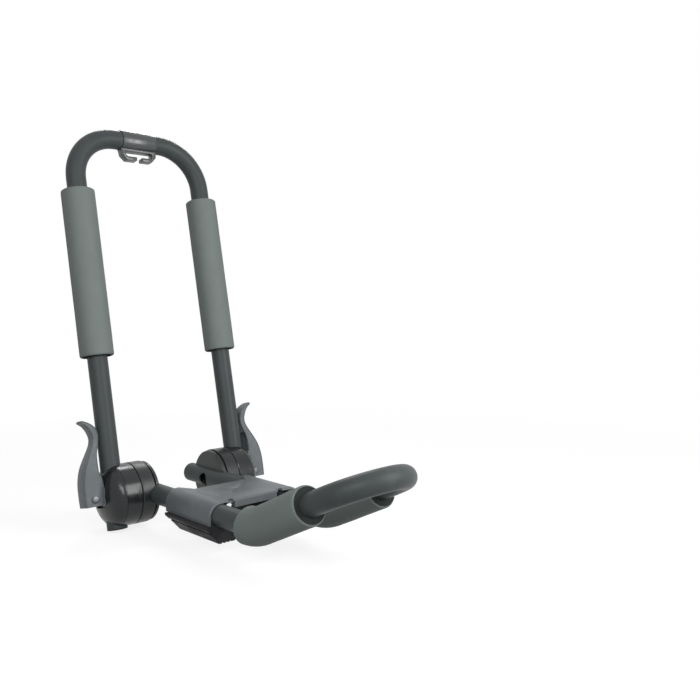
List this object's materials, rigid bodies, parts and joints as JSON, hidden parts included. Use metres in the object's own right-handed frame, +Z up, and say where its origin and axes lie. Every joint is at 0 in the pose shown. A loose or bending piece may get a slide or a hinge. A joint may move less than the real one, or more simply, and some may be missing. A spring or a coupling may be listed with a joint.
{
  "type": "folding kayak carrier",
  "caption": "Folding J-shaped kayak carrier for a roof crossbar: padded upright loop on cam-locked hinges, padded front cradle loop, saddle plate on rubber blocks.",
  "frame": {"origin": "middle of the rubber seat's underside, where the carrier rests on the crossbar", "axes": "+X along the crossbar from the upright to the front cradle, +Y to the left side along the hinge axis, +Z up"},
  "size_m": [0.519, 0.27, 0.5234],
  "materials": {
    "tube_paint": "satin powder coat, dark charcoal",
    "plate_paint": "satin powder coat, charcoal",
    "foam": "closed-cell foam sleeve, grey, fine skin",
    "housing_gloss": "glossy moulded shell, near black",
    "hinge_shell": "satin moulded shell, near black",
    "clutch_rubber": "matte friction disc",
    "lever_nylon": "satin glass-filled plastic, dark grey",
    "steel": "zinc plated",
    "cap_plastic": "matte black plug",
    "hook_plastic": "glossy moulded clip",
    "seat_rubber": "matte black rubber"
  },
  "bodies": {
    "base": {"base_loop": "tube_paint", "base_end_cap_left": "cap_plastic", "base_end_cap_right": "cap_plastic", "hinge_half_left": "hinge_shell", "hinge_half_right": "hinge_shell", "base_plate": "plate_paint", "crossbar_block_left": "seat_rubber", "crossbar_block_right": "seat_rubber", "arm_pad_left": "foam", "arm_pad_right": "foam"},
    "upright": {"upright_loop": "tube_paint", "upright_pad_left": "foam", "upright_pad_right": "foam", "leg_cap_left": "cap_plastic", "leg_cap_right": "cap_plastic", "housing_left": "housing_gloss", "housing_right": "housing_gloss", "clutch_disc_left": "clutch_rubber", "clutch_disc_right": "clutch_rubber", "draw_bolt_left": "steel", "draw_bolt_right": "steel", "bolt_nut_left": "steel", "bolt_nut_right": "steel", "nut_washer_left": "steel", "nut_washer_right": "steel", "cam_washer_left": "steel", "cam_washer_right": "steel", "strap_hook": "hook_plastic"},
    "lever_arm_left": {"lever_left": "lever_nylon", "lever_pin_left": "steel"},
    "lever_arm_right": {"lever_right": "lever_nylon", "lever_pin_right": "steel"}
  },
  "joints": [
    {"name": "fold", "type": "hinge", "parent": "base", "child": "upright", "pos_m": [-0.13, 0, 0.031], "axis": [0, 1, 0], "range_deg": [0, 101.87]},
    {"name": "lever_left_open", "type": "hinge", "parent": "upright", "child": "lever_arm_left", "pos_m": [-0.13, 0.12258, 0.031], "axis": [-0.9786, 0, -0.2057], "range_deg": [0, 100]},
    {"name": "lever_right_open", "type": "hinge", "parent": "upright", "child": "lever_arm_right", "pos_m": [-0.13, -0.12258, 0.031], "axis": [0.9786, 0, 0.2057], "range_deg": [0, 100]}
  ]
}
